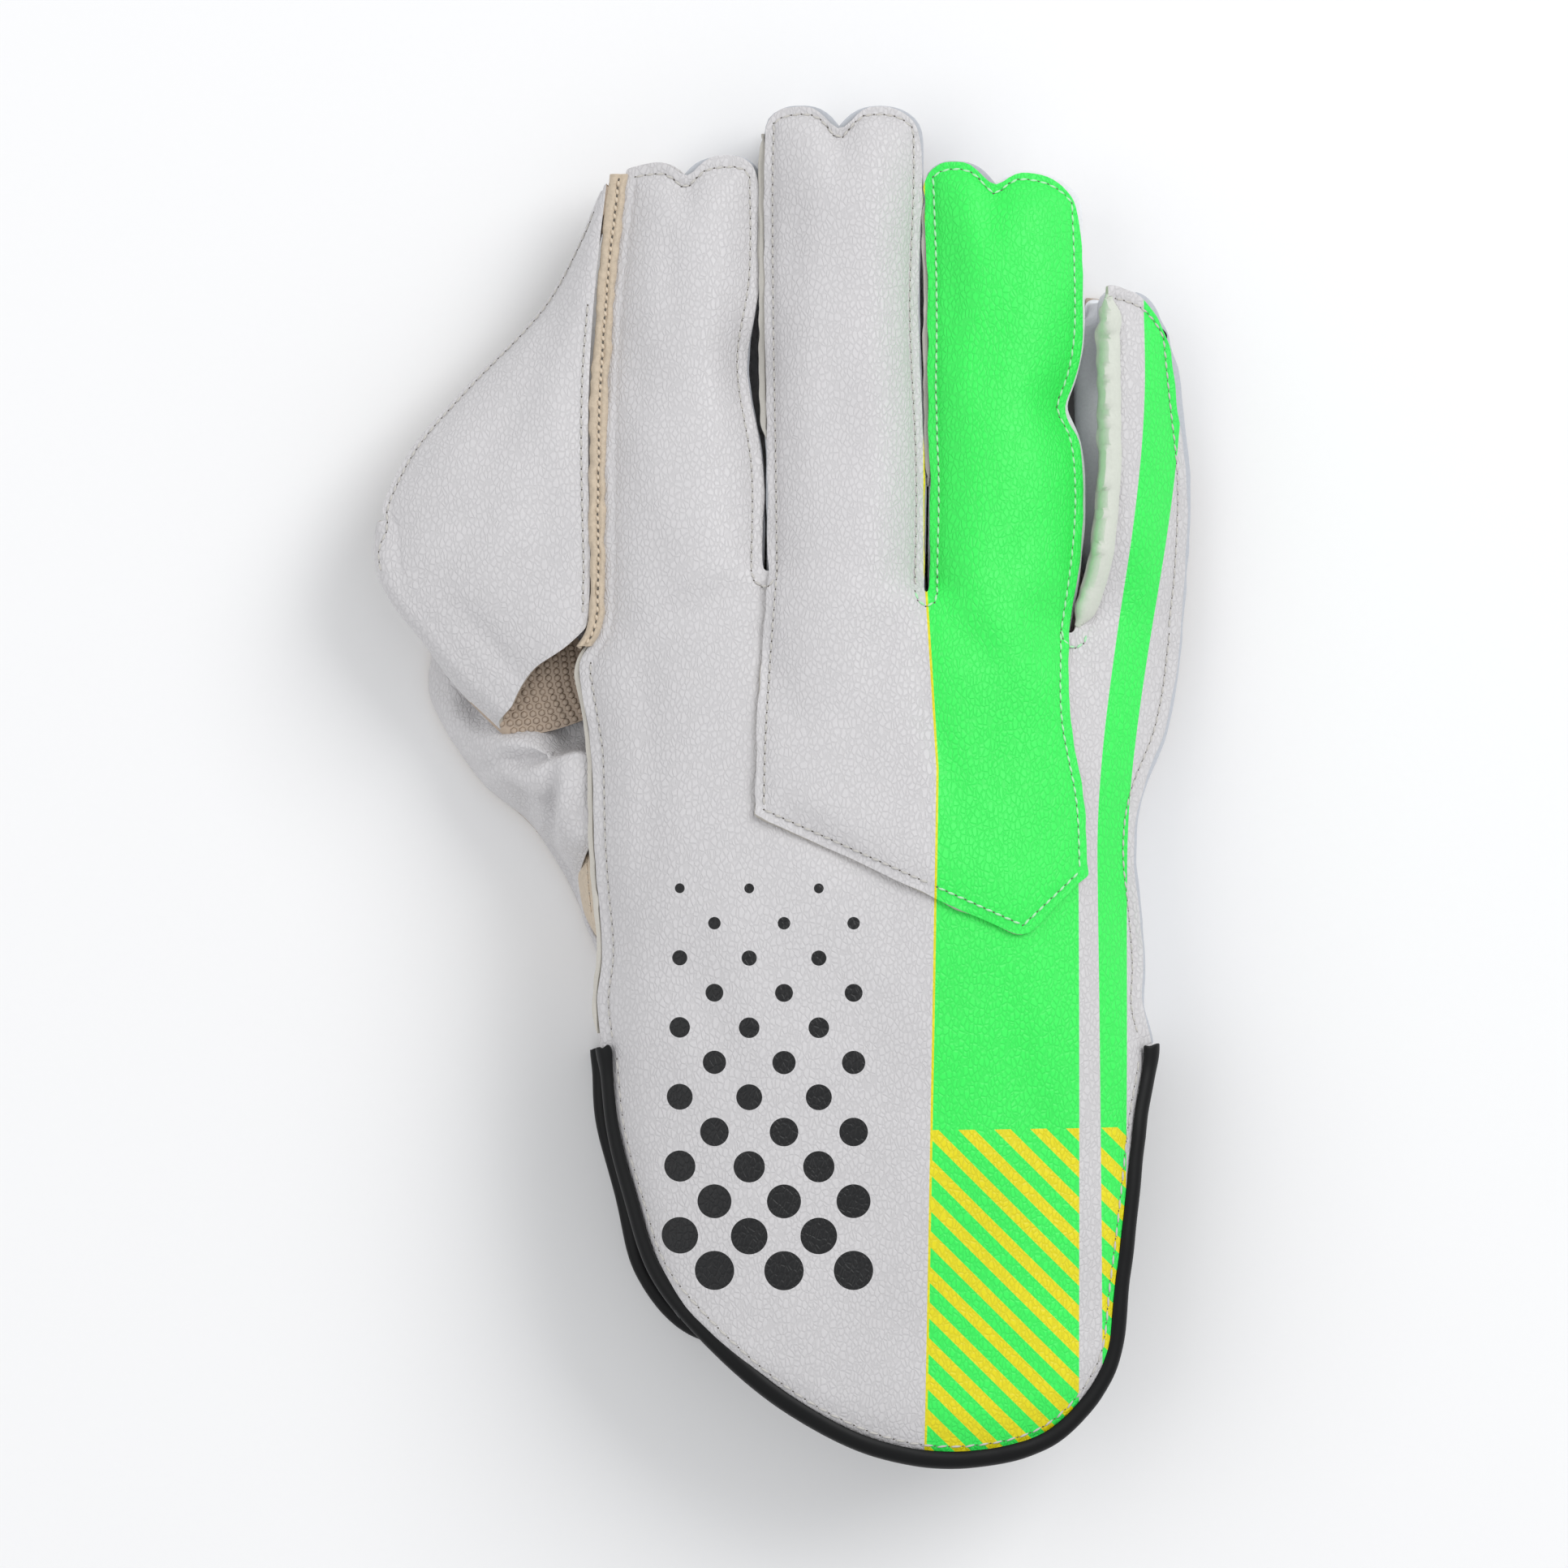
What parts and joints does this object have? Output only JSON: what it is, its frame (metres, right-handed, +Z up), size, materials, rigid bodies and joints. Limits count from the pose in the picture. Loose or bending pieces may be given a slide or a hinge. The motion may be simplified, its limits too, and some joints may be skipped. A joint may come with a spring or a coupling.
{
  "type": "wicketkeeping glove",
  "caption": "Right-hand wicketkeeping glove lying palm down, with back panels, side gussets, thumb hood, folded web, rubber palm and bound two-flap cuff",
  "frame": {"origin": "middle of the glove's footprint on the surface it lies on", "axes": "+Z up out of the back of the hand, +Y from the cuff to the fingertips, -X to the thumb"},
  "size_m": [0.2104, 0.3501, 0.06],
  "materials": {
    "white_leather": "white pebble-grained leather, soft sheen",
    "overlay_leather": "pebble-grained leather, white with a fluorescent green half",
    "gusset_leather": "thin pale grey leather, matt",
    "raw_seam": "beige raw leather edge with chain stitching",
    "palm_rubber": "tan pimpled rubber facing, matt",
    "black_vinyl": "black soft vinyl binding, satin",
    "black_lining": "black brushed lining, matt"
  },
  "bodies": {
    "root": {"back_panel": "white_leather", "finger_overlay": "overlay_leather", "palm_panel": "palm_rubber", "side_index": "gusset_leather", "side_index_middle": "gusset_leather", "side_middle_ring": "gusset_leather", "side_ring_little": "gusset_leather", "side_outer": "gusset_leather", "side_wrist": "white_leather", "thumb_gusset": "raw_seam", "web_leather": "white_leather", "web_facing": "palm_rubber", "web_seam": "raw_seam", "thumb_back": "white_leather", "thumb_facing": "palm_rubber", "palm_cuff": "white_leather", "palm_cuff_lining": "black_lining", "binding_back": "black_vinyl", "binding_palm": "black_vinyl"}
  },
  "joints": []
}
